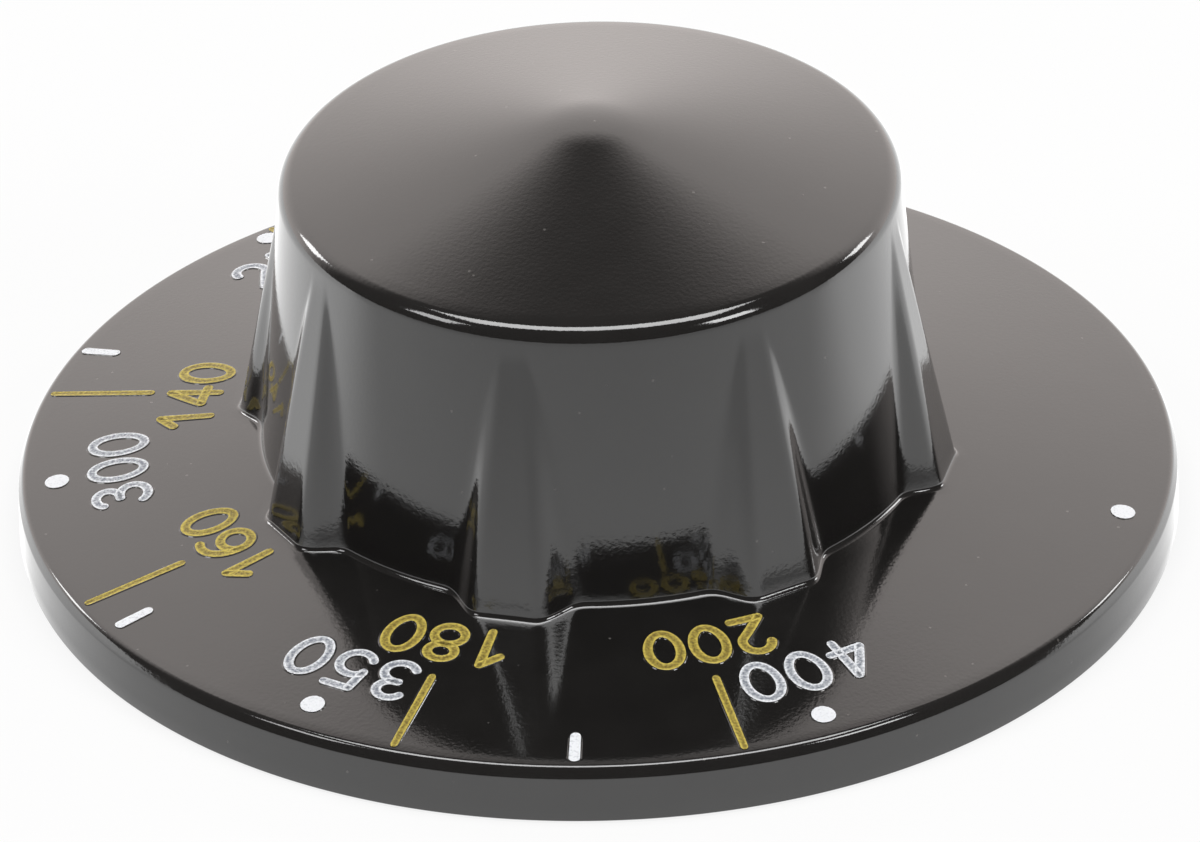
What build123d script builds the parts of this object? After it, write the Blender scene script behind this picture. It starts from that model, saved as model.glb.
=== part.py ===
from build123d import *
import os
from math import cos, hypot, radians, tan

# Thermostat dial knob of a deep fryer: one phenolic moulding with a spring clip in its stem socket.
# Millimetres. The stem axis is Z, z = 0 is the plane of the skirt's rim and the front is -Y.

# Dial skirt: a shallow cone with a rim all round, its upper edge eased by a steep bevel
skirt_diameter = 63.5
rim_height = 3.25
rim_taper = 0.02
rim_bevel_width = 0.27
rim_bevel_drop = 0.63
rim_edge_radius = 0.4
rim_bevel_radius = 0.4
skirt_slope = 8.1
rim_land = 2.5

# Grip: a drafted drum, closed by a shallow crown with a soft point
grip_top_diameter = 33.9
grip_height = 21.27
grip_draft = 6.1
grip_edge_radius = 1.1
grip_foot_radius = 0.7
crown_slope = 12.5
crown_tip_radius = 11.0

# Finger ribs: they run out of the drum below its top edge and widen down to the skirt
rib_count = 8
rib_start_angle = -15.0
rib_runout = 2.0
rib_foot_stand = 1.15
rib_foot_width = 3.9
rib_top_width = 2.0
rib_flank_angle = 40.0
rib_edge_radius = 0.35

# Underside: even walls, a hub for the stem and four webs that tie the hub to the grip
wall = 2.6
hub_diameter = 12.7
hub_draft = 1.0
hub_recess = 2.5
web_count = 4
web_start_angle = 45.0
web_thickness = 2.0
web_recess = 6.5

# Stem: a quarter inch rod with one flat
stem_diameter = 6.35
stem_across_flat = 5.56
stem_clearance = 0.05
socket_depth = 14.0
socket_lead_in = 0.4

# Spring clip: a strip folded over the wall between the socket's flat and a slot behind it
clip_thickness = 0.4
clip_width = 2.6
clip_bow = 0.25
clip_inner_leg = 11.0
clip_outer_leg = 7.0
clip_backing_wall = 1.3
slot_clearance = 0.15
slot_end_clearance = 1.0

# Sizes that follow from the ones above
skirt_radius = skirt_diameter / 2
grip_top_radius = grip_top_diameter / 2
slope = tan(radians(skirt_slope))
draft = tan(radians(grip_draft))
pitch = tan(radians(crown_slope))
rim_side_radius = skirt_radius - rim_taper
rim_top_radius = rim_side_radius - rim_bevel_width
foot_rise = (rim_top_radius - grip_top_radius - grip_height * draft) * slope
foot_z = (rim_height + foot_rise) / (1 - draft * slope)
crown_apex = grip_height + grip_top_radius * pitch
skirt_drop = wall / cos(radians(skirt_slope))
grip_inset = wall / cos(radians(grip_draft))
crown_drop = wall / cos(radians(crown_slope))
hub_radius = hub_diameter / 2
socket_radius = stem_diameter / 2 + stem_clearance
socket_flat = stem_across_flat - stem_diameter / 2 + stem_clearance + clip_thickness
socket_top = hub_recess + socket_depth


def skirt_z(r):
    """Height of the skirt's upper face at a radius."""
    return rim_height + (rim_top_radius - r) * slope


def grip_r(z):
    """Radius of the drum's wall at a height."""
    return grip_top_radius + (grip_height - z) * draft


def crown_z(r):
    """Height of the crown's straight cone at a radius."""
    return crown_apex - r * pitch


def turned(points, roundings):
    """Solid of revolution about Z from (radius, height) corners, some of them rounded."""
    with BuildPart() as part:
        with BuildSketch(Plane.XZ) as section:
            with BuildLine():
                Polyline(*points, close=True)
            make_face()
            for corner, radius in roundings:
                fillet(section.vertices().sort_by_distance(Vector(corner[0], corner[1]))[0], radius)
        revolve(axis=Axis.Z)
    return part.part


# Outer form: rim, skirt, drum and crown in one turned section
rim_bevel = (rim_side_radius, rim_height - rim_bevel_drop)
rim_edge = (rim_top_radius, rim_height)
grip_foot = (grip_r(foot_z), foot_z)
grip_edge = (grip_top_radius, grip_height)
outer = turned(
    [(0, 0), (skirt_radius, 0), rim_bevel, rim_edge, grip_foot, grip_edge, (0, crown_apex)],
    [(rim_edge, rim_edge_radius), (rim_bevel, rim_bevel_radius), (grip_edge, grip_edge_radius)],
)

# The crown's point is blunted to a small dome that leaves the cone without a crease
tip_centre = crown_apex - crown_tip_radius / cos(radians(crown_slope))
tip_base = tip_centre + crown_tip_radius * cos(radians(crown_slope))
point = Pos(0, 0, tip_base) * Box(
    grip_top_diameter, grip_top_diameter, crown_apex, align=(Align.CENTER, Align.CENTER, Align.MIN)
)
outer = outer - (point - Pos(0, 0, tip_centre) * Sphere(crown_tip_radius))


# One rib: a loft between two trapezoids, its root buried in the drum's wall
def rib_section(z, face_r, face_width):
    """Trapezoid at height z with its outer corners rounded; local x runs out from the axis."""
    root_r = grip_r(z) - wall / 2
    root_width = face_width + 2 * (face_r - root_r) * tan(radians(rib_flank_angle))
    with BuildSketch(Plane.XY.offset(z)) as section:
        with BuildLine():
            Polyline(
                (root_r, -root_width / 2),
                (face_r, -face_width / 2),
                (face_r, face_width / 2),
                (root_r, root_width / 2),
                close=True,
            )
        make_face()
        fillet(section.vertices().group_by(Axis.X)[-1], rib_edge_radius)
    return section.sketch


rib_bottom = foot_z - wall / 2
rib_top = grip_height - grip_edge_radius
runout_z = grip_height - rib_runout
stand_rate = rib_foot_stand / (runout_z - foot_z)
width_rate = (rib_foot_width - rib_top_width) / (runout_z - foot_z)


def rib_at(z):
    """Rib section at a height; its face leaves the drum's wall at the run-out height."""
    below = runout_z - z
    return rib_section(z, grip_r(z) + below * stand_rate, rib_top_width + below * width_rate)


rib = loft([rib_at(rib_bottom), rib_at(rib_top)], ruled=True)
ribs = [Rot(0, 0, rib_start_angle + 360 * i / rib_count) * rib for i in range(rib_count)]

# One fillet follows the whole foot of the grip, round the drum and round every rib
outer = outer + ribs
mid_skirt = (rim_top_radius + grip_foot[0]) / 2
skirt_face = outer.faces().sort_by_distance(Vector(mid_skirt, 0, skirt_z(mid_skirt)))[0]
foot_edges = skirt_face.edges().filter_by(GeomType.LINE, reverse=True).filter_by(
    lambda edge: hypot(edge.position_at(0).X, edge.position_at(0).Y) < mid_skirt
)
outer = fillet(foot_edges, grip_foot_radius)

# Underside hollow: the outer lines set in by the wall, open between the rim land and the axis
land_radius = skirt_radius - rim_land
inner_foot_z = foot_z - skirt_drop + (grip_inset - skirt_drop * draft) * slope
inner_foot = (grip_r(inner_foot_z) - grip_inset, inner_foot_z)
inner_edge_r = (grip_top_radius - grip_inset + (grip_height - crown_apex + crown_drop) * draft) / (1 - draft * pitch)
inner_edge = (inner_edge_r, crown_z(inner_edge_r) - crown_drop)
land_edge = (land_radius, skirt_z(land_radius) - skirt_drop)
hollow = turned(
    [(0, 0), (land_radius, 0), land_edge, inner_foot, inner_edge, (0, crown_apex - crown_drop)], []
)

# Hub, drafted towards its mouth and rooted in the crown
hub_top = crown_z(hub_radius) - crown_drop / 2
hub_root_radius = hub_radius + (hub_top - hub_recess) * tan(radians(hub_draft))
hub = turned([(0, hub_recess), (hub_radius, hub_recess), (hub_root_radius, hub_top), (0, hub_top)], [])

# Webs between the hub and the grip's wall, each end sunk half a wall deep
web_z = hub_recess + web_recess
web_edge = (inner_edge[0] + grip_inset / 2, inner_edge[1] + crown_drop / 2)
with BuildPart() as web:
    with BuildSketch(Plane.XZ):
        with BuildLine():
            Polyline(
                (hub_radius - wall / 2, web_z),
                (grip_r(web_z) - grip_inset / 2, web_z),
                web_edge,
                (hub_radius - wall / 2, crown_z(hub_radius) - crown_drop / 2),
                close=True,
            )
        make_face()
    extrude(amount=web_thickness / 2, both=True)
webs = [Rot(0, 0, web_start_angle + 360 * i / web_count) * web.part for i in range(web_count)]

# Stem socket: a round hole with a flat on +X, its mouth eased for the stem
with BuildPart() as socket:
    with BuildSketch(Plane.XY.offset(hub_recess)):
        Circle(socket_radius)
        with Locations((socket_flat + socket_radius, 0)):
            Rectangle(2 * socket_radius, 4 * socket_radius, mode=Mode.SUBTRACT)
    extrude(amount=socket_depth)

# Slot behind the flat for the clip's outer leg
slot_x = socket_flat + clip_backing_wall
slot_width = clip_width + 2 * slot_clearance
slot_depth = clip_outer_leg + slot_end_clearance
slot = Pos(slot_x, 0, hub_recess) * Box(
    clip_thickness + slot_clearance, slot_width, slot_depth, align=(Align.MIN, Align.CENTER, Align.MIN)
)

knob_body = outer - hollow + hub + webs - socket.part - slot
mouth = knob_body.edges().filter_by_position(Axis.Z, hub_recess, hub_recess)
mouth_arc = mouth.filter_by(GeomType.CIRCLE).sort_by(SortBy.RADIUS)[0]
knob_body = chamfer(mouth_arc, socket_lead_in)

# Clip: one strip bent over the end of the backing wall, its inner leg bowed towards the stem
fold_radius = (clip_backing_wall + clip_thickness) / 2
inner_x = socket_flat - clip_thickness / 2
outer_x = slot_x + clip_thickness / 2
fold_x = (inner_x + outer_x) / 2
bow_start = hub_recess + clip_thickness
bow_end = hub_recess + clip_inner_leg
with BuildPart() as clip:
    with BuildSketch(Plane.XZ):
        with BuildLine() as strip:
            Line((outer_x, hub_recess + clip_outer_leg), (outer_x, hub_recess))
            ThreePointArc((outer_x, hub_recess), (fold_x, hub_recess - fold_radius), (inner_x, hub_recess))
            Line((inner_x, hub_recess), (inner_x, bow_start))
            ThreePointArc(
                (inner_x, bow_start), (inner_x - clip_bow, (bow_start + bow_end) / 2), (inner_x, bow_end)
            )
        trace(line_width=clip_thickness)
    extrude(amount=clip_width / 2, both=True)
shaft_clip = clip.part

os.makedirs("parts", exist_ok=True)
export_step(knob_body, "parts/knob_body.step")
export_step(shaft_clip, "parts/shaft_clip.step")
for name, piece in (("knob_body", knob_body), ("shaft_clip", shaft_clip)):
    box = piece.bounding_box()
    print(name, len(piece.solids()), "solid,", round(piece.volume, 1), "mm3, z", round(box.min.Z, 3), round(box.max.Z, 3))
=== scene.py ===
# %% [markdown]
# # A deep fryer's dial knob
# The real knob is one glossy black moulding, hollow underneath, with a temperature scale cut into
# its skirt and filled with paint. A bent spring strip in the stem socket is the only other piece.
# The exact solids come in first as a frame that stays fixed. Everything drawn here is laid on it.

import bmesh
import bpy
import numpy as np
from mathutils import Matrix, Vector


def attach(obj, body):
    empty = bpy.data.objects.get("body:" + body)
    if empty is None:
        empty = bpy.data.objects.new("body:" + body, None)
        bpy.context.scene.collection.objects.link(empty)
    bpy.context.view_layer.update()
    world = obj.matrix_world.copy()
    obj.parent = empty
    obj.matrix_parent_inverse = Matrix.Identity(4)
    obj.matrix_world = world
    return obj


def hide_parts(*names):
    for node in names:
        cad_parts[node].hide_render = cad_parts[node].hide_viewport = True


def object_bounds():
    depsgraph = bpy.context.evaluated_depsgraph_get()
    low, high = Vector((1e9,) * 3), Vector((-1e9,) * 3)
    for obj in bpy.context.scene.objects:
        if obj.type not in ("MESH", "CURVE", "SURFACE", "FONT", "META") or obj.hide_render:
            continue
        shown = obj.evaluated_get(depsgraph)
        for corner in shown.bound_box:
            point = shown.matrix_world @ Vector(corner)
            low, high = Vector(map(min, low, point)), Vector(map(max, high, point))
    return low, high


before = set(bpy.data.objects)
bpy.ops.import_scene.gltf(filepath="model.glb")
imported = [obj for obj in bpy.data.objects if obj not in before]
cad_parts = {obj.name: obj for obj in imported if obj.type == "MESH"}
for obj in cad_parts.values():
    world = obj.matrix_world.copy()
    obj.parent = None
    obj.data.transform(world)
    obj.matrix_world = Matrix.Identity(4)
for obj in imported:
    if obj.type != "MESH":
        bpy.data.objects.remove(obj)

cad_low, cad_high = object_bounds()
print("nodes", sorted(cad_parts), "size", [round(c, 4) for c in cad_high - cad_low])

# %% [markdown]
# ## Sizes of the moulding
# The outside is a drafted drum on a shallow cone. Its width is read from the frame, and the rest are
# the mould maker's own: heights, slopes, drafts, edge radii and the eight finger ribs. All lengths
# below are in millimetres and all angles in radians, until a mesh is made.

# %% Lines of the turned section
MM = 0.001
skirt_radius = cad_high.x / MM
rim_height, rim_taper, rim_bevel_width, rim_bevel_drop = 3.25, 0.02, 0.27, 0.63
rim_edge_radius, rim_bevel_radius = 0.4, 0.4
grip_top_radius, grip_height = 16.85, 21.27
grip_edge_radius, grip_foot_radius = 1.05, 0.38
flare_top, flare_height, flare = 8.3, 3.2, 0.06
crown_tip_radius = 11.0
skirt_slope, grip_draft, crown_slope = np.radians([8.1, 4.9, 12.5])
rim_side_radius = skirt_radius - rim_taper
rim_top_radius = rim_side_radius - rim_bevel_width
crown_apex = grip_height + grip_top_radius * np.tan(crown_slope)


def skirt_z(r):
    """Height of the skirt's cone at radius r."""
    return rim_height + (rim_top_radius - r) * np.tan(skirt_slope)


def grip_r(z):
    """Radius of the drum's wall at height z: a straight draft that flares a little just above the skirt."""
    low = np.maximum(flare_top - z, 0) / flare_height
    return grip_top_radius + (grip_height - z) * np.tan(grip_draft) + flare * low**2


def crown_z(r):
    """Height of the crown at radius r: a cone whose point is a small ball that leaves it smoothly."""
    ball_z = crown_apex - crown_tip_radius / np.cos(crown_slope)
    inside = np.minimum(r, crown_tip_radius * np.sin(crown_slope))
    ball = ball_z + np.sqrt(crown_tip_radius**2 - inside**2)
    return np.where(r > inside, crown_apex - r * np.tan(crown_slope), ball)


foot_z = rim_height
for _ in range(6):
    foot_z = skirt_z(grip_r(foot_z))
print("grip meets skirt at radius", round(grip_r(foot_z), 2), "height", round(foot_z, 2))

# %% [markdown]
# ## Columns that follow the ribs
# Each rib is a flat face between two slanted flanks. It is wide at the skirt and runs out of the
# drum just below the crown. A plain polar grid would step across those slanted edges and show
# jagged reflections, so the columns of this grid lean with the ribs: a fixed number of columns lies
# on every face, flank and stretch of drum, whatever the height.

# %% Rib sizes and column angles
COLUMNS = 480
rib_count, rib_start = 8, -15.0
rib_foot_radius, rib_foot_width, rib_top_width, rib_runout = 19.74, 3.9, 2.0, 1.6
rib_flank = np.radians(40.0)
per_rib = COLUMNS // rib_count
face_steps, flank_steps = 9, 18
least_flank = np.radians(0.6)

column = np.arange(COLUMNS)
from_first_rib = column + per_rib // 2 - round(rib_start / 360 * COLUMNS)
rib_step = from_first_rib % per_rib - per_rib // 2
rib_middle = np.radians(rib_start + 360 / rib_count * (from_first_rib // per_rib))
runout_z = grip_height - rib_runout


def rib_size(z):
    """Distance of the rib's face from the axis and half its width, both straight lines in z."""
    down = (runout_z - z) / (runout_z - foot_z)
    face = grip_r(runout_z) + (rib_foot_radius - grip_r(runout_z)) * down
    return face, (rib_top_width + (rib_foot_width - rib_top_width) * down) / 2


def column_angle(z):
    """Angle of every column from its rib's middle at height z.

    The columns close up towards both edges of a flank: a sine on the face, a cosine ramp on the
    flank and a cosine on the drum, each between the angles where face, flank and drum meet.
    """
    face, half = rib_size(np.minimum(z, runout_z))
    edge = np.arctan2(half, face)
    reach = np.cos(rib_flank) * (half + face * np.tan(rib_flank)) / grip_r(np.minimum(z, runout_z))
    root = np.maximum(np.arcsin(reach) - rib_flank, edge + least_flank)
    n = np.abs(rib_step)
    on_face = edge * np.sin(np.pi / 2 * n / face_steps)
    along_flank = (n - face_steps) / (flank_steps - face_steps)
    on_flank = edge + (root - edge) * (1 - np.cos(np.pi * along_flank)) / 2
    along_drum = (n - flank_steps) / (per_rib // 2 - flank_steps)
    on_drum = root + (np.pi / rib_count - root) * (1 - np.cos(np.pi / 2 * along_drum))
    beside_face = np.where(n <= flank_steps, on_flank, on_drum)
    return np.sign(rib_step) * np.where(n <= face_steps, on_face, beside_face)


rib_foot_half = np.degrees(column_angle(foot_z)[rib_step == flank_steps][0])
print(COLUMNS, "columns,", per_rib, "to a rib; a rib's foot is", (2 * rib_foot_half).round(1), "degrees wide")

# %% [markdown]
# ## The ribbed wall
# At each height a rib is cut from the plane of its face and the two planes of its flanks, so the
# wall's radius is the larger of drum and rib, and the rib's the smaller of face and flank. A mould
# has no knife edges. Rounding the two choices off, instead of cutting them sharp, gives the soft rib
# edges and the hollow where a flank meets the drum.

# %% Radius of the wall
rib_edge_softness, rib_root_softness = 0.6, 0.5
runout_softening = 6.0


def soft_min(a, b, width):
    """The smaller of a and b; the corner between them is rounded where they differ by less than width."""
    near = np.maximum(width - np.abs(a - b), 0) / width
    return np.minimum(a, b) - near**2 * width / 4


def wall_radius(angle, z):
    """Radius of the wall at an angle from a rib's middle: the drum's, or the rib's where it stands out."""
    face, half = rib_size(z)
    face_plane = face / np.cos(angle)
    lean = np.tan(rib_flank)
    flank_plane = (half + face * lean) / (np.sin(np.abs(angle)) + np.cos(angle) * lean)
    rib = soft_min(face_plane, flank_plane, rib_edge_softness)
    softness = rib_root_softness * np.clip((runout_z - z) / runout_softening, 0.1, 1)
    return -soft_min(-rib, -grip_r(z), softness)


print("rib stands", round(float(wall_radius(0.0, foot_z) - grip_r(foot_z)), 2), "mm out at the skirt")

# %% [markdown]
# ## Rounded corners
# Every edge of a moulding is rounded, and these thin roundings carry the bright lines that make it
# look glossy. One helper does them all: it swings from one leg of a corner to the other round the
# circle that touches both, for all columns at once.

# %% Corner helper
def towards(r, z):
    """Unit direction in the radial plane."""
    length = np.hypot(r, z)
    return np.array([r / length, z / length])


def rounded(corner, back, ahead, radius, steps):
    """Rows of points round a corner.

    back and ahead are unit directions along the two legs. The circle's middle lies on their bisector,
    radius / sin(half angle) away, and the points turn about it evenly from one leg to the other.
    """
    parts = [np.shape(part) for pair in (corner, back, ahead) for part in pair]
    shape = np.broadcast_shapes(*parts, (COLUMNS,))
    corner, back, ahead = (
        np.stack([np.broadcast_to(part, shape) for part in pair]) for pair in (corner, back, ahead)
    )
    half = np.arccos(np.clip((back * ahead).sum(0), -1, 1)) / 2
    bisector = (back + ahead) / (2 * np.cos(half))
    middle = corner + bisector * radius / np.sin(half)
    start = corner + back * radius / np.tan(half) - middle
    end = corner + ahead * radius / np.tan(half) - middle
    turn = np.pi - 2 * half
    share = np.linspace(0, 1, steps)[:, None, None]
    return middle + (np.sin((1 - share) * turn) * start + np.sin(share * turn) * end) / np.sin(turn)


def leg(start, end, steps):
    """Rows between two points of the section, without the points themselves."""
    share = np.linspace(0, 1, steps + 2)[1:-1, None, None]
    return start + (end - start) * share


down_wall = towards(np.sin(grip_draft), -np.cos(grip_draft))
up_crown = towards(-np.cos(crown_slope), np.sin(crown_slope))
shoulder = rounded((grip_top_radius, grip_height), up_crown, down_wall, grip_edge_radius, 14)
print("shoulder runs from", shoulder[0, :, 0].round(2), "to", shoulder[-1, :, 0].round(2))

# %% [markdown]
# ## The outside, from the crown to the rim
# The section is walked from the tip of the crown outwards: crown, shoulder, ribbed wall, the hollow
# round the grip's foot, skirt, rim with its narrow bevel. The foot is solved per column, because the
# wall meets the skirt further out on a rib. The result is rows of radius, height and angle.

# %% Outside rows
crown_steps, wall_steps, skirt_steps = 26, 34, 18
crown_radii = shoulder[0, 0] * np.linspace(0.02, 1, crown_steps, endpoint=False)[:, None] ** 1.2
crown = np.stack([crown_radii, crown_z(crown_radii)], axis=1)

settle_z = foot_z + 0.8
foot_angle = column_angle(settle_z)
corner_z = np.full(COLUMNS, foot_z)
for _ in range(6):
    corner_z = skirt_z(wall_radius(foot_angle, corner_z))
corner_r = wall_radius(foot_angle, corner_z)
probe = 0.4
up_wall = towards(wall_radius(foot_angle, corner_z + probe) - corner_r, np.full(COLUMNS, probe))
out_skirt = towards(np.cos(skirt_slope), -np.sin(skirt_slope))
foot = rounded((corner_r, corner_z), up_wall, out_skirt, grip_foot_radius, 9)

share = np.linspace(0, 1, wall_steps + 2)[1:-1, None]
wall_z = shoulder[-1, 1] + (foot[0, 1] - shoulder[-1, 1]) * share
wall_angle = column_angle(np.maximum(wall_z, settle_z))
wall = np.stack([wall_radius(wall_angle, wall_z), wall_z], axis=1)

bevel_z = rim_height - rim_bevel_drop
down_bevel = towards(rim_bevel_width, -rim_bevel_drop)
down_rim = towards(rim_taper, -bevel_z)
rim = rounded((rim_top_radius, rim_height), -out_skirt, down_bevel, rim_edge_radius, 9)
bevel = rounded((rim_side_radius, bevel_z), -down_bevel, down_rim, rim_bevel_radius, 5)
rim_foot = rounded((skirt_radius, 0.0), -down_rim, (-1.0, 0.0), 0.08, 4)
skirt = leg(foot[-1], rim[0], skirt_steps)
rim_side = [rim, leg(rim[-1], bevel[0], 2), bevel, leg(bevel[-1], rim_foot[0], 2), rim_foot]

outside = np.concatenate([crown, shoulder, wall, foot, skirt, *rim_side])
top_angle = np.tile(column_angle(grip_height), (crown_steps + len(shoulder), 1))
low_rows = len(outside) - len(top_angle) - wall_steps
outside_angle = rib_middle + np.concatenate([top_angle, wall_angle, np.tile(foot_angle, (low_rows, 1))])
print("outside", outside.shape[0], "rows of", COLUMNS)

# %% [markdown]
# ## The underside
# The moulding is hollow, with an even wall. A hub for the stem hangs from the crown, and four webs
# tie it to the grip. Under a web the section stops at the web's lower edge, and elsewhere it goes up
# to the crown, so the same list of corners serves every column with two sets of heights. Two columns
# that stand close together make the web's drafted sides.

# %% Underside rows
wall_thickness, rim_land = 2.6, 2.5
hollow_top_radius, hollow_draft = 14.335, np.radians(6.1)
hub_radius, hub_recess, hub_draft = 6.35, 2.5, np.radians(1.0)
web_half, web_lean, web_z = 1.0, 0.12, 9.0
per_web, web_steps = COLUMNS // 4, 7
web_step = column % per_web - per_web // 2
web_middle = np.radians(45 + 90 * (column // per_web))
under_web = np.abs(web_step) <= web_steps


def web_angle(r):
    """Angle of every column where the webs are: even steps across a web, then even turns to the next."""
    across = np.arcsin(web_half * np.minimum(np.abs(web_step), web_steps) / web_steps / r)
    side = np.arcsin((web_half + web_lean) / r)
    turn = (np.abs(web_step) - web_steps - 1) / (per_web // 2 - web_steps - 1)
    return web_middle + np.sign(web_step) * np.where(under_web, across, side + (np.pi / 4 - side) * turn)


def inner_r(z):
    """Radius of the hollow in the grip at height z."""
    return hollow_top_radius + (grip_height - z) * np.tan(hollow_draft)


def hub_r(z):
    """Radius of the drafted hub at height z."""
    return hub_radius + (z - hub_recess) * np.tan(hub_draft)


skirt_under = wall_thickness / np.cos(skirt_slope)
crown_under = wall_thickness / np.cos(crown_slope)
land_r = skirt_radius - rim_land
inner_foot_z, inner_top_z, hub_root_z = foot_z, grip_height, grip_height
for _ in range(8):
    inner_foot_z = skirt_z(inner_r(inner_foot_z)) - skirt_under
    inner_top_z = crown_z(inner_r(inner_top_z)) - crown_under
    hub_root_z = crown_z(hub_r(hub_root_z)) - crown_under
roof_z = np.where(under_web, web_z, inner_top_z)
root_z = np.where(under_web, web_z, hub_root_z)

land_edge = (land_r, 0.0)
rim_inside = (land_r, skirt_z(land_r) - skirt_under)
inner_foot = (inner_r(inner_foot_z), inner_foot_z)
roof_edge = (inner_r(roof_z), roof_z)
hub_root = (hub_r(root_z), root_z)
hub_edge = (hub_radius, hub_recess)


def between(a, b):
    """Unit direction from one corner of the section to the next."""
    return towards(b[0] - a[0], b[1] - a[1])


rim_corner, hub_middle = (skirt_radius, 0.0), (0.0, hub_recess)
stops = [rim_corner, land_edge, rim_inside, inner_foot, roof_edge, hub_root, hub_edge, hub_middle]
radii = [0.15, 0.4, 0.8, 0.7, 0.7, 0.3]
turns = [
    rounded(stops[i], between(stops[i], stops[i - 1]), between(stops[i], stops[i + 1]), radii[i - 1], 4)
    for i in range(1, len(stops) - 1)
]
underside = [turns[0]]
for before, after in zip(turns, turns[1:]):
    underside += [leg(before[-1], after[0], 4), after]
underside = np.concatenate(underside)
underside_angle = web_angle(underside[:, 0])
land = leg(rim_foot[-1], underside[0], 3)
blend = np.linspace(0, 1, 5)[1:-1, None]
lag = (underside_angle[0] - outside_angle[-1] + np.pi) % (2 * np.pi) - np.pi
land_angle = outside_angle[-1] + lag * blend
print("underside", len(underside), "rows, hub root at", round(float(hub_root_z), 2), "mm")

# %% [markdown]
# ## The stem socket
# The stem has one flat, so its hole is a D. Behind the flat a narrow slot takes the outer leg of the
# spring strip. Here the rings stop being round: columns near +X lie on the straight sides of slot and
# flat, and the others close the ring round the back.

# %% Rings of the hub's end
socket_radius, socket_flat, socket_top, lead_in = 3.225, 2.835, 16.5, 0.4
slot_near, slot_far, slot_half, slot_top, slot_ease = 4.135, 4.685, 1.45, 10.5, 0.1
slot_steps, flat_steps = 24, 38
from_flat = (column + COLUMNS // 2) % COLUMNS - COLUMNS // 2
steps_out = np.abs(from_flat)


def slot_ring(x_slot, z_slot, x_beside):
    """A ring that is straight along the slot, where it goes into it, and round elsewhere."""
    start = np.arctan2(slot_half + slot_ease, x_beside)
    round_share = np.maximum(steps_out - slot_steps - 1, 0) / (COLUMNS // 2 - slot_steps - 1)
    turn = start + (np.pi - start) * round_share
    angle, radius = np.sign(from_flat) * turn, np.hypot(x_beside, slot_half + slot_ease)
    in_slot = steps_out <= slot_steps
    x = np.where(in_slot, x_slot, radius * np.cos(angle))
    y = np.where(in_slot, slot_half * from_flat / slot_steps, radius * np.sin(angle))
    return np.stack([x, y, np.where(in_slot, z_slot, hub_recess)])


def socket_ring(scale, z, ease=0.0):
    """A D: a chord at the flat's distance and an arc for the rest; ease widens the arc alone."""
    start = np.arccos(socket_flat / socket_radius)
    turn = start + (np.pi - start) * np.maximum(steps_out - flat_steps, 0) / (COLUMNS // 2 - flat_steps)
    angle, radius = np.sign(from_flat) * turn, socket_radius + ease
    on_flat = steps_out <= flat_steps
    x = np.where(on_flat, socket_flat, radius * np.cos(angle))
    y = np.where(on_flat, socket_radius * np.sin(start) * from_flat / flat_steps, radius * np.sin(angle))
    return np.stack([x * scale, y * scale, np.full(COLUMNS, z)])


beside = np.linspace(slot_far, slot_near, 4)
hub_end = [
    slot_ring(slot_far, hub_recess, beside[0]),
    slot_ring(slot_far, slot_top, beside[1]),
    slot_ring(slot_near, slot_top, beside[2]),
    slot_ring(slot_near, hub_recess, beside[3]),
    socket_ring(1.0, hub_recess, lead_in),
    socket_ring(1.0, hub_recess + lead_in),
    socket_ring(1.0, socket_top),
    socket_ring(0.4, socket_top),
]
print("socket", 2 * socket_radius, "mm round,", round(socket_radius + socket_flat, 2), "mm across its flat")

# %% [markdown]
# ## Skinning the body
# The rows become rings of points in space, and each ring is joined to the next by a band of quads.
# A fan closes the tip of the crown and another the end of the socket, so the skin has no open edge.
# It replaces the plain solid, which stays in the simulation.

# %% Body mesh
def rings_from_rows(rows, angle):
    """Points on circles: the section's radius turned to each column's angle, at the section's height."""
    return np.stack([rows[:, 0] * np.cos(angle), rows[:, 0] * np.sin(angle), rows[:, 1]], axis=1)


def mesh_piece(name, points, faces, materials):
    """A mesh object at the origin from points in millimetres; its shading is smooth up to a sharp edge."""
    mesh = bpy.data.meshes.new(name)
    mesh.from_pydata(points * MM, [], faces)
    work = bmesh.new()
    work.from_mesh(mesh)
    bmesh.ops.recalc_face_normals(work, faces=work.faces)
    work.to_mesh(mesh)
    work.free()
    mesh.shade_smooth()
    mesh.set_sharp_from_angle(angle=np.radians(34))
    for material in materials:
        mesh.materials.append(material)
    piece = bpy.data.objects.new(name, mesh)
    bpy.context.collection.objects.link(piece)
    return piece


rings = np.concatenate([
    rings_from_rows(outside, outside_angle),
    rings_from_rows(land, land_angle),
    rings_from_rows(underside, underside_angle),
    np.stack(hub_end),
])
points = rings.transpose(0, 2, 1).reshape(-1, 3)
corner = np.arange(len(points)).reshape(len(rings), COLUMNS)
following = np.roll(corner, -1, axis=1)
bands = np.stack([corner[:-1], corner[1:], following[1:], following[:-1]], axis=-1).reshape(-1, 4)
tip, end = len(points), len(points) + 1
points = np.concatenate([points, [[0, 0, crown_z(0.0)], [0, 0, socket_top]]])
tip_fan = np.stack([np.full(COLUMNS, tip), corner[0], following[0]], axis=-1)
end_fan = np.stack([np.full(COLUMNS, end), following[-1], corner[-1]], axis=-1)
body_faces = bands.tolist() + tip_fan.tolist() + end_fan.tolist()
print("body", len(points), "points,", 2 * len(bands) + 2 * COLUMNS, "triangles")

# %% [markdown]
# ## Black phenolic
# Phenolic is a dense, hard resin, so it mirrors more than common plastic does: its refractive index
# is set high. The skin of the moulding is not quite flat. A very slight ripple, gloss that varies a
# little and a few grains of dust keep it from looking like black glass. All patterns sit in the
# object's own space.

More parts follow.
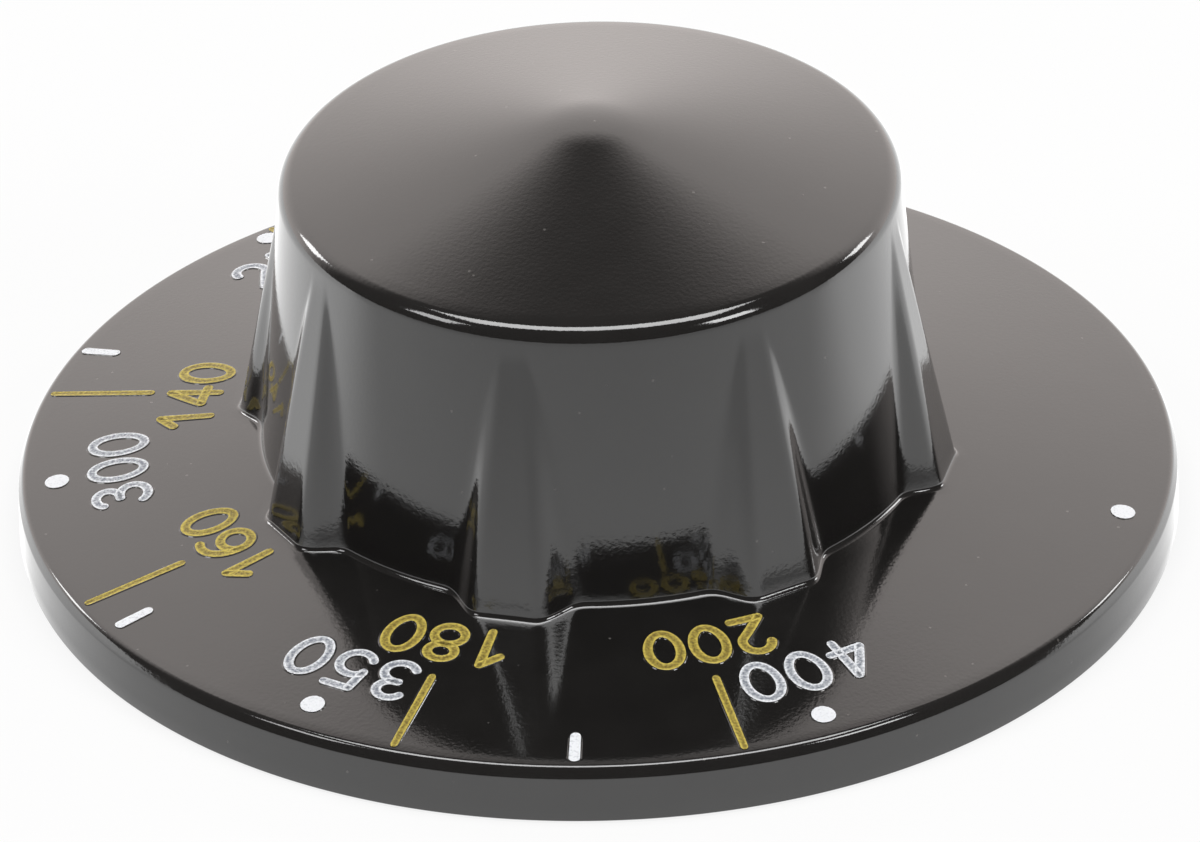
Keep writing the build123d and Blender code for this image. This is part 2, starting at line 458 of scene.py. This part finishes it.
# %% Phenolic finish
def new_material(name):
    """A material with its shader, ready for more nodes, and helpers to add and join them."""
    material = bpy.data.materials.new(name)
    material.use_nodes = True
    tree = material.node_tree
    shader = tree.nodes["Principled BSDF"]
    place = tree.nodes.new("ShaderNodeTexCoord").outputs["Object"]

    def noise(scale, detail=2.0):
        """Soft noise; scale counts its lumps to the metre."""
        node = tree.nodes.new("ShaderNodeTexNoise")
        node.inputs["Scale"].default_value = scale
        node.inputs["Detail"].default_value = detail
        tree.links.new(place, node.inputs["Vector"])
        return node.outputs["Fac"]

    def remap(value, low, high, to_low, to_high):
        """Values from low to high become to_low to to_high, and no further."""
        node = tree.nodes.new("ShaderNodeMapRange")
        for socket, number in zip(node.inputs[1:5], (low, high, to_low, to_high)):
            socket.default_value = number
        tree.links.new(value, node.inputs["Value"])
        return node.outputs["Result"]

    def mix(factor, first, second):
        """Colour that goes from first to second as the factor goes from 0 to 1."""
        node = tree.nodes.new("ShaderNodeMix")
        node.data_type = "RGBA"
        tree.links.new(factor, node.inputs["Factor"])
        for socket, colour in ((node.inputs["A"], first), (node.inputs["B"], second)):
            if isinstance(colour, tuple):
                socket.default_value = (*colour, 1.0)
            else:
                tree.links.new(colour, socket)
        return node.outputs["Result"]

    return material, tree, shader, place, noise, remap, mix


def phenolic_black():
    """Deep black with a high gloss, a slight ripple and a scatter of dust."""
    material, tree, shader, place, noise, remap, mix = new_material("phenolic_black")
    shader.inputs["IOR"].default_value = 1.78
    resin = mix(noise(400.0), (0.008, 0.0076, 0.0072), (0.014, 0.0134, 0.0128))
    grains = tree.nodes.new("ShaderNodeTexVoronoi")
    grains.inputs["Scale"].default_value = 520.0
    tree.links.new(place, grains.inputs["Vector"])
    dust = remap(grains.outputs["Distance"], 0.03, 0.05, 0.4, 0.0)
    tree.links.new(mix(dust, resin, (0.20, 0.19, 0.18)), shader.inputs["Base Color"])
    tree.links.new(remap(noise(250.0, 4.0), 0.3, 0.7, 0.06, 0.09), shader.inputs["Roughness"])
    bump = tree.nodes.new("ShaderNodeBump")
    bump.inputs["Strength"].default_value = 0.2
    bump.inputs["Distance"].default_value = 0.02 * MM
    tree.links.new(noise(4500.0, 3.0), bump.inputs["Height"])
    tree.links.new(bump.outputs["Normal"], shader.inputs["Normal"])
    return material


phenolic = phenolic_black()
body = mesh_piece("knob_moulding", points, body_faces, [phenolic])
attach(body, "root")
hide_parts("knob_body")
print("body carries", phenolic.name)

# %% [markdown]
# ## Spring strip
# The strip that grips the stem is bright tempered steel, and its shape in the frame is already the
# real one, so it only needs a finish: drawn steel with fine lines along its length.

# %% Steel finish
def spring_steel():
    """Metal whose gloss is streaked along Z by noise that is squeezed across the strip."""
    material, tree, shader, place, noise, remap, mix = new_material("spring_steel")
    shader.inputs["Metallic"].default_value = 1.0
    squeeze = tree.nodes.new("ShaderNodeMapping")
    squeeze.inputs["Scale"].default_value = (12000.0, 12000.0, 400.0)
    tree.links.new(place, squeeze.inputs["Vector"])
    lines = tree.nodes.new("ShaderNodeTexNoise")
    lines.inputs["Scale"].default_value = 1.0
    tree.links.new(squeeze.outputs["Vector"], lines.inputs["Vector"])
    streak = lines.outputs["Fac"]
    tree.links.new(mix(streak, (0.42, 0.42, 0.43), (0.62, 0.62, 0.63)), shader.inputs["Base Color"])
    tree.links.new(remap(streak, 0.3, 0.7, 0.22, 0.38), shader.inputs["Roughness"])
    return material


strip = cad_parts["shaft_clip"]
strip.data.materials.clear()
strip.data.materials.append(spring_steel())
print("strip finished in", strip.data.materials[0].name)

# %% [markdown]
# ## Drawing the numerals
# The scale is cut with a round ended cutter that follows the middle line of each figure, so a figure
# is a few lines and arcs and needs no outline. They are drawn in a box one unit wide and high. A
# figure with a sharp corner is two cuts that meet there, as the cutter would make it.

# %% Figures as middle lines
def line(*corners):
    """Straight cut through the given corners."""
    return np.array(corners, dtype=float)


def arc(middle, half_size, start, stop):
    """Cut along an ellipse from one angle to another, in degrees counted from the right, left about."""
    angle = np.radians(np.linspace(start, stop, 40))
    return np.array(middle) + np.array(half_size) * np.stack([np.cos(angle), np.sin(angle)], axis=1)


FIGURES = {
    "0": [arc((0.5, 0.5), (0.5, 0.5), 90, 450)],
    "1": [line((0.62, 0.0), (0.62, 1.0)), line((0.62, 1.0), (0.12, 0.70))],
    "2": [
        np.concatenate([arc((0.5, 0.70), (0.44, 0.30), 165, -28), line((0.0, 0.0))]),
        line((0.0, 0.0), (1.0, 0.0)),
    ],
    "3": [
        np.concatenate([arc((0.46, 0.77), (0.40, 0.23), 150, -90), line((0.36, 0.54))]),
        arc((0.46, 0.27), (0.50, 0.27), 90, -150),
    ],
    "4": [line((0.70, 1.0), (0.0, 0.28)), line((0.0, 0.28), (1.0, 0.28)), line((0.70, 1.0), (0.70, 0.0))],
    "5": [
        line((0.92, 1.0), (0.16, 1.0)),
        line((0.16, 1.0), (0.08, 0.50)),
        arc((0.46, 0.32), (0.52, 0.32), 138, -148),
    ],
    "6": [arc((0.5, 0.31), (0.5, 0.31), 90, 450), arc((0.72, 0.36), (0.72, 0.64), 70, 180)],
    "8": [arc((0.5, 0.77), (0.42, 0.23), 90, 450), arc((0.5, 0.27), (0.5, 0.27), 90, 450)],
}
print("figures drawn:", " ".join(sorted(FIGURES)))

# %% [markdown]
# ## Cutting a stroke
# A cutter throws up a low black lip on both sides, and the paint that fills the cut stands a little
# thicker at its edges. A stroke is that section carried along the middle line. It is laid on the
# skirt's cone by reading x as distance round the dial and y as distance outwards. Its ends are round,
# because the section narrows there like a half circle.

# %% Stroke mesh
stroke_step = 0.13
lip_width, lip_height, paint_edge, paint_middle, sunk = 0.12, 0.03, 0.042, 0.033, -0.03
end_turn = np.radians([78, 60, 40, 20])


def section(half):
    """Closed section of a stroke: lip, paint edge, paint middle and back again, closed below the skirt.

    Returns the offsets across, the heights and how near each point is to the paint's edge.
    """
    lip = [half + lip_width, half + 0.5 * lip_width, half]
    across = np.array(lip + [0.92 * half, 0.72 * half, 0.4 * half, 0.0])
    height = np.array([sunk, lip_height, lip_height, paint_edge, paint_edge, paint_middle, paint_middle])
    # How near each point is to the paint's edge: this later sets the painted highlight at the edge and the
    # painted shade in the middle.
    edge = np.array([1.0, 1.0, 1.0, 1.0, 0.9, 0.15, 0.0])
    return np.r_[-across, across[-2::-1]], np.r_[height, height[-2::-1]], np.r_[edge, edge[-2::-1]]


def even_steps(path):
    """The same path with its points an even stroke_step apart."""
    along = np.r_[0, np.cumsum(np.hypot(*np.diff(path, axis=0).T))]
    count = max(int(round(along[-1] / stroke_step)), 2)
    at = np.linspace(0, along[-1], count + 1)
    return np.stack([np.interp(at, along, path[:, 0]), np.interp(at, along, path[:, 1])], axis=1)


def stroke(path, half, taper=1.0):
    """Section carried along a flat path.

    Returns points by station and place in the section (x, y, height), edge shares and whether it closes.
    """
    closed = np.allclose(path[0], path[-1])
    path = even_steps(path)
    across, height, edge = section(half)
    if closed:
        path = path[:-1]
        run = np.roll(path, -1, axis=0) - np.roll(path, 1, axis=0)
        width = np.ones(len(path))
    else:
        run = np.gradient(path, axis=0)
        run /= np.hypot(*run.T)[:, None]
        first = path[0] - run[0] * half * np.sin(end_turn)[:, None]
        last = path[-1] + run[-1] * half * np.sin(end_turn)[::-1, None]
        width = np.r_[np.cos(end_turn), np.linspace(1, taper, len(path)), taper * np.cos(end_turn)[::-1]]
        path = np.concatenate([first, path, last])
        first_run, last_run = (np.tile(run[end], (len(end_turn), 1)) for end in (0, -1))
        run = np.concatenate([first_run, run, last_run])
    run = run / np.hypot(*run.T)[:, None]
    side = np.stack([run[:, 1], -run[:, 0]], axis=1)
    flat = path[:, None] + side[:, None] * (width[:, None] * across)[..., None]
    lift = np.broadcast_to(height, flat.shape[:2])
    return np.concatenate([flat, lift[..., None]], axis=2), np.broadcast_to(edge, flat.shape[:2]), closed


def on_skirt(flat, middle, radius):
    """Lays x, y and height on the cone: x runs right about from middle at the row's radius, y outwards."""
    r = radius + flat[..., 1] * np.cos(skirt_slope)
    angle = middle - flat[..., 0] / radius
    z = skirt_z(r) + flat[..., 2] * np.cos(skirt_slope)
    r = r + flat[..., 2] * np.sin(skirt_slope)
    return np.stack([r * np.cos(angle), r * np.sin(angle), z], axis=-1)


print("stroke section has", len(section(0.28)[0]), "points")

# %% [markdown]
# ## Laying out the scale
# White figures give degrees Fahrenheit and stand outside, with a dot at each and a tick halfway.
# Yellow figures give degrees Celsius and stand inside, each with a long line to the rim. Both count
# up left about, and their tops point outwards, so the one at the back is upright. Each mark has its
# place in degrees from +X, left about, and how far outside its row it was cut: no hand is exact. The
# long lines all end near the rim and start where the row of white figures leaves room.

# %% Scale layout
white_at = [(72.3, 0.3), (128.2, 0.65), (182.53, 0.08), (238.7, -0.14), (294.72, -0.04)]
white_figures = dict(zip(("200", "250", "300", "350", "400"), white_at))
white_dots = [(72.3, 0.3), (126.85, 0.54), (182.7, 0.02), (237.97, -0.2), (293.1, 0.12), (344.83, -0.1)]
white_ticks = [(99.7, 0.3), (155.86, 0.14), (211.8, -0.12), (266.86, 0.08)]
yellow_at = [(85.6, 0.2), (125.3, 0.2), (165.81, 0.26), (206.3, -0.02), (247.9, -0.18), (284.8, -0.16)]
yellow_figures = dict(zip(("100", "120", "140", "160", "180", "200"), yellow_at))
yellow_line_at = (85.6, 125.3, 164.76, 206.3, 248.65, 283.8)
yellow_lines = list(zip(yellow_line_at, (25.3, 28.7, 25.35, 25.28, 25.2, 25.14)))

stroke_half = 0.27
white_row, white_size, white_pitch = 26.16, (1.84, 2.9), 2.65
yellow_row, yellow_size, yellow_pitch = 22.52, (1.74, 2.75), 2.49
dot_radius, dot_row = 0.66, 29.57
tick_half, tick_in, tick_out = 0.3, 28.9, 30.65
line_half, line_out, line_taper = 0.25, 30.9, 0.75


def number(text, middle, row, size, pitch):
    """Strokes of a number, its figures set side by side about the middle and laid on the skirt."""
    laid = []
    for place, figure in enumerate(text):
        corner = np.array([(place - (len(text) - 1) / 2) * pitch, 0.0]) - np.array(size) / 2
        for path in FIGURES[figure]:
            flat, edge, closed = stroke(path * size + corner, stroke_half)
            laid.append((on_skirt(flat, np.radians(middle), row), edge, closed))
    return laid


def straight(middle, inner, outer, half, taper=1.0, edge_highlight_share=0.0):
    """One radial stroke between two radii; the last argument is the least share of the painted edge highlight
    on it.
    """
    row = (inner + outer) / 2
    flat, edge, closed = stroke(line((0.0, inner - row), (0.0, outer - row)), half, taper)
    return on_skirt(flat, np.radians(middle), row), np.maximum(edge, edge_highlight_share), closed


white, yellow = [], []
for text, (at, out) in white_figures.items():
    white += number(text, at, white_row + out, white_size, white_pitch)
for text, (at, out) in yellow_figures.items():
    yellow += number(text, at, yellow_row + out, yellow_size, yellow_pitch)
# Dots and ticks get the painted edge highlight nearly all over.
for at, out in white_dots:
    white.append(straight(at, dot_row + out - 0.02, dot_row + out + 0.02, dot_radius, edge_highlight_share=1.35))
for at, out in white_ticks:
    white.append(straight(at, tick_in + out, tick_out + out, tick_half, edge_highlight_share=1.2))
for at, start in yellow_lines:
    yellow.append(straight(at, start, line_out, line_half, line_taper))
print(len(white), "white and", len(yellow), "yellow strokes")

# %% [markdown]
# ## Paint
# The paint is wiped into the cuts by hand and is pitted all over. Its colour is painted bright along
# the edges of a stroke and dark in its middle: a painted highlight where the cut's edges catch the
# light and painted shade down the cut. An attribute on the mesh says how near a point is to the edge
# of its stroke, and noise breaks up both the colour and the surface.

# %% Paint and marks
def scale_paint(name, edge_highlight_colour, middle_shade_colour):
    """Matt paint whose colour goes from painted shade in the middle of a stroke to a painted highlight at its
    edge.
    """
    material, tree, shader, place, noise, remap, mix = new_material(name)
    near = tree.nodes.new("ShaderNodeAttribute")
    near.attribute_name = "paint_edge"
    edge_highlight_share = tree.nodes.new("ShaderNodeMath")
    edge_highlight_share.operation = "MULTIPLY_ADD"
    edge_highlight_share.inputs[1].default_value = 0.7
    tree.links.new(near.outputs["Fac"], edge_highlight_share.inputs[0])
    tree.links.new(remap(noise(7000.0, 3.0), 0.35, 0.65, -0.15, 0.55), edge_highlight_share.inputs[2])
    # Painted light: the bright colour at a stroke's edge is a painted highlight, and the dark one in its
    # middle is painted shade. The noise is wear.
    colour = mix(remap(edge_highlight_share.outputs["Value"], 0.0, 1.0, 0.0, 1.0), middle_shade_colour, edge_highlight_colour)
    tree.links.new(colour, shader.inputs["Base Color"])
    tree.links.new(remap(noise(5000.0), 0.3, 0.7, 0.35, 0.6), shader.inputs["Roughness"])
    bump = tree.nodes.new("ShaderNodeBump")
    bump.inputs["Strength"].default_value = 0.5
    bump.inputs["Distance"].default_value = 0.05 * MM
    tree.links.new(noise(9000.0, 3.0), bump.inputs["Height"])
    tree.links.new(bump.outputs["Normal"], shader.inputs["Normal"])
    return material


def marks(name, strokes, paint):
    """One piece from many strokes: bands between stations, caps on open ends, paint on the middle bands."""
    points, edges, faces, finish = [], [], [], []
    first = 0
    for laid, edge, closed in strokes:
        stations, across = edge.shape
        index = first + np.arange(stations * across).reshape(stations, across)
        ahead = np.roll(index, -1, axis=0) if closed else index[1:]
        here = index if closed else index[:-1]
        band = np.stack([here, ahead, np.roll(ahead, -1, axis=1), np.roll(here, -1, axis=1)], axis=-1)
        middle = np.arange(across)
        painted = (middle >= 2) & (middle <= across - 4)
        faces += band.reshape(-1, 4).tolist()
        finish.append(np.tile(painted, len(here)))
        if not closed:
            faces += [index[0].tolist(), index[-1, ::-1].tolist()]
            finish.append([False, False])
        points.append(laid.reshape(-1, 3))
        edges.append(edge.ravel())
        first += stations * across
    piece = mesh_piece(name, np.concatenate(points), faces, [phenolic, paint])
    piece.data.polygons.foreach_set("material_index", np.concatenate(finish).astype(np.int32))
    # paint_edge sets how much painted edge highlight, against painted middle shade, a point gets.
    near_edge = piece.data.attributes.new("paint_edge", "FLOAT", "POINT")
    near_edge.data.foreach_set("value", np.concatenate(edges))
    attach(piece, "root")
    print(name, len(piece.data.polygons), "faces")
    return piece


# Bright colours are the painted highlight at a stroke's edge, and dark ones are the painted shade in its
# middle.
white_paint = scale_paint("scale_white", (0.90, 0.92, 0.95), (0.20, 0.22, 0.26))
yellow_paint = scale_paint("scale_yellow", (0.64, 0.51, 0.09), (0.17, 0.12, 0.015))
marks("scale_white", white, white_paint)
marks("scale_yellow", yellow, yellow_paint)

# %% [markdown]
# ## Table
# The knob lies on a white table. Seen directly it is mostly an even white of strength one, and the
# rest of it is matt card that takes the soft shadow under the rim. In the gloss of the knob it glows
# with painted light: dimmer far out in front and brighter at the back, standing in for the paper's
# light on it. Its underside is clear, so that the knob can be looked at from below.

# %% Table
def table_top(half, glow_share, far_light, near_light, back_light):
    """A wide square just below the rim: glow and card for eye and mirror rays, card for all others."""
    mesh = bpy.data.meshes.new("table")
    corners = np.array([(-1, -1), (1, -1), (1, 1), (-1, 1)]) * half
    mesh.from_pydata([(x, y, -0.1 * MM) for x, y in corners], [], [(0, 1, 2, 3)])
    top = bpy.data.objects.new("table", mesh)
    bpy.context.collection.objects.link(top)
    material = bpy.data.materials.new("table_white")
    material.use_nodes = True
    tree = material.node_tree
    tree.nodes.clear()
    card = tree.nodes.new("ShaderNodeBsdfDiffuse")
    card.inputs["Color"].default_value = (0.88, 0.88, 0.88, 1.0)
    axes = tree.nodes.new("ShaderNodeSeparateXYZ")
    tree.links.new(tree.nodes.new("ShaderNodeTexCoord").outputs["Object"], axes.inputs["Vector"])
    front = tree.nodes.new("ShaderNodeMapRange")
    back = tree.nodes.new("ShaderNodeMapRange")
    back.interpolation_type = "SMOOTHSTEP"
    front_ramp = (-100 * MM, -30 * MM, far_light, near_light)
    back_ramp = (-20 * MM, 0.0, 0.0, back_light - near_light)
    for node, ramp in ((front, front_ramp), (back, back_ramp)):
        for socket, number in zip(node.inputs[1:5], ramp):
            socket.default_value = number
        tree.links.new(axes.outputs["Y"], node.inputs["Value"])
    mirrored = tree.nodes.new("ShaderNodeMath")
    tree.links.new(front.outputs["Result"], mirrored.inputs[0])
    tree.links.new(back.outputs["Result"], mirrored.inputs[1])
    path = tree.nodes.new("ShaderNodeLightPath")
    light = tree.nodes.new("ShaderNodeMix")
    light.inputs["A"].default_value = 1.0
    tree.links.new(path.outputs["Is Glossy Ray"], light.inputs["Factor"])
    tree.links.new(mirrored.outputs["Value"], light.inputs["B"])
    glow = tree.nodes.new("ShaderNodeEmission")
    tree.links.new(light.outputs["Result"], glow.inputs["Strength"])
    seen = tree.nodes.new("ShaderNodeMath")
    seen.operation = "MAXIMUM"
    tree.links.new(path.outputs["Is Camera Ray"], seen.inputs[0])
    tree.links.new(path.outputs["Is Glossy Ray"], seen.inputs[1])
    share = tree.nodes.new("ShaderNodeMath")
    share.operation = "MULTIPLY"
    share.inputs[1].default_value = glow_share
    tree.links.new(seen.outputs["Value"], share.inputs[0])
    lit = tree.nodes.new("ShaderNodeMixShader")
    tree.links.new(share.outputs["Value"], lit.inputs["Fac"])
    tree.links.new(card.outputs["BSDF"], lit.inputs[1])
    tree.links.new(glow.outputs["Emission"], lit.inputs[2])
    sides = tree.nodes.new("ShaderNodeMixShader")
    tree.links.new(tree.nodes.new("ShaderNodeNewGeometry").outputs["Backfacing"], sides.inputs["Fac"])
    tree.links.new(lit.outputs["Shader"], sides.inputs[1])
    tree.links.new(tree.nodes.new("ShaderNodeBsdfTransparent").outputs["BSDF"], sides.inputs[2])
    out = tree.nodes.new("ShaderNodeOutputMaterial")
    tree.links.new(sides.outputs["Shader"], out.inputs["Surface"])
    mesh.materials.append(material)
    return top


# For mirror rays the table glows as painted light, from 0.78 far in front to 1.95 at the back.
table_top(3.0, 0.85, 0.78, 1.1, 1.95)
print("table laid under the rim")

# %% [markdown]
# ## Light from behind
# A glossy black thing shows mostly what stands round it. Here that is a bright sheet of paper behind
# the knob, which ends about halfway up, and a dark room above and in front. Both are painted on the
# world by direction, because nothing of them is seen except in the gloss.

# %% Paper behind the knob
def paper_behind(low_light, high_light, dark):
    """World light by direction: a sheet on the +Y side that fades out overhead and to both sides.

    Up to halfway the sheet goes evenly from its low to its high light. Its share against the dark is
    one smooth step that falls with height, times one that rises towards +Y. The eye sees plain white,
    and matt surfaces get a small part only, because the lamps light those.
    """
    world = bpy.data.worlds.new("paper_behind")
    bpy.context.scene.world = world
    world.use_nodes = True
    tree = world.node_tree
    axes = tree.nodes.new("ShaderNodeSeparateXYZ")
    tree.links.new(tree.nodes.new("ShaderNodeTexCoord").outputs["Generated"], axes.inputs["Vector"])

    def ramp(value, kind, low, high, to_low, to_high):
        """Values from low to high become to_low to to_high, straight or as a smooth step."""
        node = tree.nodes.new("ShaderNodeMapRange")
        node.interpolation_type = kind
        for socket, number in zip(node.inputs[1:5], (low, high, to_low, to_high)):
            socket.default_value = number
        tree.links.new(value, node.inputs["Value"])
        return node.outputs["Result"]

    def blend(factor, first, second):
        """Goes from first to second as the factor goes from 0 to 1."""
        node = tree.nodes.new("ShaderNodeMix")
        sockets = (node.inputs["Factor"], node.inputs["A"], node.inputs["B"])
        for socket, value in zip(sockets, (factor, first, second)):
            if isinstance(value, float):
                socket.default_value = value
            else:
                tree.links.new(value, socket)
        return node.outputs["Result"]

    path = tree.nodes.new("ShaderNodeLightPath")
    sheet = ramp(axes.outputs["Z"], "LINEAR", 0.0, 0.7, low_light, high_light)
    lower = ramp(axes.outputs["Z"], "SMOOTHSTEP", 0.67, 0.84, 1.0, 0.0)
    behind = ramp(axes.outputs["Y"], "SMOOTHSTEP", 0.2, 0.6, 0.0, 1.0)
    mirrored = blend(behind, dark, blend(lower, dark, sheet))
    matt = blend(path.outputs["Is Diffuse Ray"], mirrored, 0.1)
    seen = blend(path.outputs["Is Camera Ray"], matt, 1.0)
    light = tree.nodes["Background"]
    light.inputs["Color"].default_value = (1.0, 0.93, 0.90, 1.0)
    tree.links.new(seen, light.inputs["Strength"])


paper_behind(1.9, 1.45, 0.12)
print("paper stands behind the knob")

# %% [markdown]
# ## Lamps
# Five soft lamps light the paint and draw the bright lines on the rounded edges. The widest hangs
# overhead and makes the long line on the shoulder and on the rim. The four small ones stand round
# about and make the short glints to both sides.

# %% Lamps
def looking(place, aim, roll=0.0):
    """Where a lamp or a camera stands: it looks from place to aim and is turned by roll about that line."""
    back = (place - aim) / np.linalg.norm(place - aim)
    right = np.cross((0.0, 0.0, 1.0), back)
    right /= np.linalg.norm(right)
    up = np.cross(back, right)
    turned_right = np.cos(roll) * right + np.sin(roll) * up
    turned_up = np.cos(roll) * up - np.sin(roll) * right
    axes = np.stack([turned_right, turned_up, back], axis=1)
    return Matrix([(*row, at) for row, at in zip(axes, place)] + [(0, 0, 0, 1)])


def soft_lamp(name, direction, distance, width, height, light):
    """A flat lamp that faces the knob; its power is its light to the eye times its area times pi."""
    lamp = bpy.data.lights.new(name, "AREA")
    lamp.shape = "RECTANGLE"
    lamp.size, lamp.size_y = width, height
    lamp.energy = light * np.pi * width * height
    stand = bpy.data.objects.new(name, lamp)
    stand.matrix_world = looking(distance * np.array(direction) / np.linalg.norm(direction), np.zeros(3))
    bpy.context.collection.objects.link(stand)


soft_lamp("lamp_overhead", (0.0, -0.02, 1.0), 1.08, 1.05, 0.44, 6.2)
soft_lamp("lamp_front_left", (-0.70, -0.33, 0.63), 1.2, 0.32, 0.32, 5.0)
soft_lamp("lamp_front_right", (0.67, -0.52, 0.53), 1.2, 0.32, 0.32, 8.0)
soft_lamp("lamp_back_left", (-0.76, 0.50, 0.42), 1.2, 0.25, 0.25, 8.5)
soft_lamp("lamp_back_right", (0.83, 0.37, 0.41), 1.2, 0.25, 0.25, 8.0)
print(len(bpy.data.lights), "lamps")

# %% [markdown]
# ## Camera
# The picture is taken from far off with a long lens, a third of the way up, and the camera is turned
# a little about its own axis. The focal length is given for a picture 1200 by 842 dots.

# %% Camera
picture_width, focal_dots = 1200, 16198.0
elevation, roll = np.radians([31.702, -1.6185])
eye = 0.888126 * np.array([0.0, -np.cos(elevation), np.sin(elevation)])
view = bpy.data.cameras.new("view")
view.sensor_width = 36.0
view.lens = focal_dots / picture_width * view.sensor_width
camera = bpy.data.objects.new("view", view)
camera.matrix_world = looking(eye, np.array([0.0001947, 0.0, 0.0055551]), roll)
bpy.context.collection.objects.link(camera)
bpy.context.scene.camera = camera
bpy.context.scene.view_settings.view_transform = "Standard"
print("lens", round(view.lens, 1), "mm")
